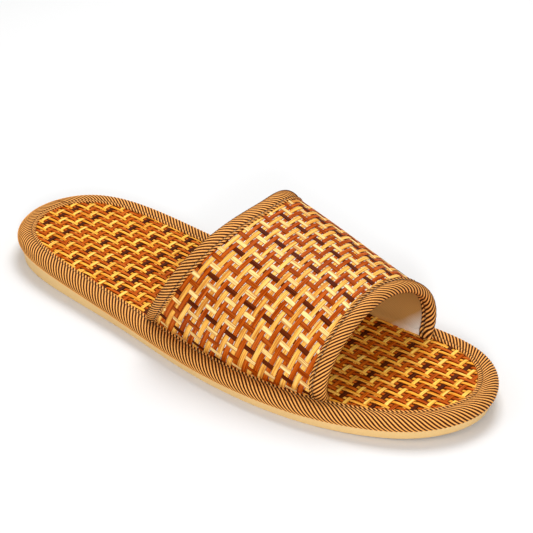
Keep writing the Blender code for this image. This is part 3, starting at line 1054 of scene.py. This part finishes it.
def plain_cloth(name, colours, painted_light=None):
    """Plain woven cloth in two colours, that may fade to a lighter pair in one corner: a
    painted lit patch.
    """
    material, tree, shader = new_finish(name, 0.85)
    spot = own_place(tree)
    x, y, z = split_xyz(tree, spot)
    threads = (x * CLOTH_THREADS).math("SINE")
    threads = threads * (y * CLOTH_THREADS + z * CLOTH_THREADS).math("SINE") * 0.5 + 0.5
    cloud = noise(tree, spot, CLOTH_CLOUDS, 3.0)
    worn = threads * 0.6 + cloud * 0.4
    tone = blend_colours(tree, worn, *colours)
    if painted_light:
        # painted light: a lit patch low in the inner toe corner
        share = (-y).scaled(*LIT_PATCH_FORWARD) - z.scaled(*LIT_PATCH_UPWARD)
        share = share + (cloud - 0.5) * LIT_PATCH_CLOUDS
        share = (share * (x * LIT_PATCH_SIDE).clamp()).clamp()
        tone = blend_colours(tree, share, tone, blend_colours(tree, worn, *painted_light))
    coat(tree, shader, tone)
    bumpy(tree, shader, threads, 0.1 * MM, 0.5)
    return material


OUTER_FOOT = inset_side(OUTER_SIDE, OUTER_FOOT_INSET)
INNER_FOOT = inset_side(INNER_SIDE, INNER_FOOT_INSET)
flat, place, outward = vamp_grid(STRAW_REACH)
pattern = guide_mesh("vamp_guide", flat, place + STRAW_HEIGHT * outward, outward)
weft_straw = straw("vamp_straw_lengthwise", WEFT_COLOURS, streak=0.7)
warp_straw = straw("vamp_straw_crosswise", WARP_COLOURS, streak=0.75)
vamp_wefts, vamp_warps = woven(pattern, bent_weave, VAMP_PHASE, ("vamp_wefts", weft_straw, {
    "Number of strips": 48, "First strip": -99.2 * MM, "Pitch": 3.73 * MM,
    "Number of steps": 205, "Start": 100.0 * MM, "Step": 0.7 * MM, "Width": 2.12 * MM,
    "Thickness": 0.26 * MM, "Rise": 0.13 * MM, "Wander": 0.35 * MM,
}), ("vamp_warps", warp_straw, {
    "Number of strips": 58, "First strip": 90.8 * MM, "Pitch": 2.55 * MM,
    "Number of steps": 210, "Start": -95.0 * MM, "Step": 0.9 * MM, "Width": 1.95 * MM,
    "Thickness": 0.26 * MM, "Rise": 0.13 * MM, "Wander": 0.3 * MM,
    "Widening from": 14.0 * MM, "Widening": 6.0}))
bpy.data.objects.remove(pattern)
backing_cloth = plain_cloth("vamp_backing_cloth", BACKING_COLOURS)
lining_cloth = plain_cloth("vamp_lining_cloth", LINING_COLOURS, LINING_PAINTED_LIGHT)
flat, place, outward = vamp_grid(CLOTH_REACH)
backing = cloth_sheet("vamp_backing", place, outward, BACKING_HEIGHTS, backing_cloth)
tucked = place.copy()
tucked[[0, -1], :, 2] -= LINING_TUCK
lining = cloth_sheet("vamp_lining", tucked, outward, LINING_HEIGHTS, lining_cloth)
for piece in (vamp_wefts, vamp_warps, backing, lining):
    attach(piece, "root")
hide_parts("vamp")

# ---- Edge bindings ---------------------------------------------------------
# The same ribbed tape, folded over the throat and the toe edge of the vamp. It is sewn
# through near its hem on the straw, and its two ends go down under the rim binding.
TAPE_SEEN = [
    # reach in from the free edge, height over the vamp's outer face; the reach over the straw
    # is scaled to each tape's width
    (8.2, 0.45), (8.0, 1.35), (7.4, 1.7), (6.8, 1.4), (6.5, 1.15), (6.1, 1.4), (5.0, 1.85),
    (3.2, 2.0), (1.4, 1.6), (0.3, 0.5), (0.0, -0.8), (0.3, -2.1), (1.4, -3.0), (3.0, -3.3),
    (4.0, -3.2), (4.5, -2.7), (5.0, -3.1), (5.8, -3.15), (6.5, -2.5),
]
TAPE_HIDDEN = [(6.2, -1.85), (3.2, -1.75), (1.5, -1.7), (1.2, -0.8), (1.6, 0.1), (5.0, 0.15)]
TAPE_GROOVES = [4, 15]  # corners of the section where the seams sink in, outside and inside
TAPE_MIDDLE = 7  # corner whose line gives the tape's length
TAPE_STATIONS = 141
TAPE_ROWS = 40
STITCH_PITCH = 2.9
END_SHARE = 0.999  # how near the two ends come to the vamp's corners
END_SINK = 2.8  # how far they are pushed down at the bed
SINK_START = 0.95  # from this share on
EDGES = [
    # name, edge, way in from it, width over the straw, rib slant at the outer end, at the
    # inner end, rib pitch, where along it the ribs begin to spread, how fast
    ("throat", THROAT_EDGE, 1.0, 8.2, -0.4, -1.75, 2.2, 0.0, 0.0),
    ("toe", TOE_EDGE, -1.0, 7.4, 0.95, 1.5, 2.12, 85.0, 6.5),
]


def edge_guide(name, edge, inward, width):
    full = TAPE_SEEN[0][0]
    seen = [(reach * width / full if height > 0 else reach, height)
            for reach, height in TAPE_SEEN]
    section, across = fine_profile(seen, TAPE_HIDDEN)
    shares = np.linspace(-END_SHARE, END_SHARE, TAPE_STATIONS)
    place = np.zeros((len(shares), len(section), 3))
    for i, share in enumerate(shares):
        free = edge_station(edge, share)
        for j, (reach, height) in enumerate(section):
            point, way = over_arch(free + inward * reach, share)
            place[i, j] = point + height * way
        place[i, :, 2] -= END_SINK * max(abs(share) - SINK_START, 0.0) / (1.0 - SINK_START)
    run = summed(step_lengths(place[:, TAPE_MIDDLE * PROFILE_SAMPLES]))
    way = section_outward(place) * -inward
    return tape_guide(name, place, way, run, across, seen, TAPE_GROOVES)


for name, edge, inward, width, slant, last_slant, pitch, bend, spread in EDGES:
    guide, length, around, seen, seams = edge_guide(name, edge, inward, width)
    slip = max(abs(slant), abs(last_slant)) * seen
    ribs = math.ceil((length + slip) / pitch)
    tape = made(name + "_tape", guide, tape_cloth(name + "_tape_cloth", seams), {
        "Number of columns": ribs * RIB_COLUMNS + 1, "Number of rows": TAPE_ROWS,
        "Length": ribs * pitch * MM, "Width": around * MM,
        "Left end": (-slip if slant > 0 else 0.0) * MM, "Slant": slant,
        "Slant growth": (last_slant - slant) / length / MM, "Spread start": bend * MM,
        "Spread": spread, "Rib pitch": pitch * MM, "Rib height": RIB_HEIGHT,
        "Seen width": seen * MM, "Guide length": length * MM}, ribbed_tape, False)
    pieces = [tape]
    count = int(length / STITCH_PITCH)
    for side, seam in zip(("outer", "inner"), seams):
        pieces.append(made(name + "_stitches_" + side, guide, thread, {
            "Number of stitches": count, "First stitch": 1.0 * MM,
            "Pitch": (length - 2.0) / count * MM, "Length": 1.5 * MM,
            "Thickness": 0.42 * MM, "Groove": seam * MM, "Lift": 0.15 * MM,
            "Slant": STITCH_SLANT}, stitching))
    for piece in pieces:
        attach(piece, "root")
    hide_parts(name + "_binding")
    bpy.data.objects.remove(guide)
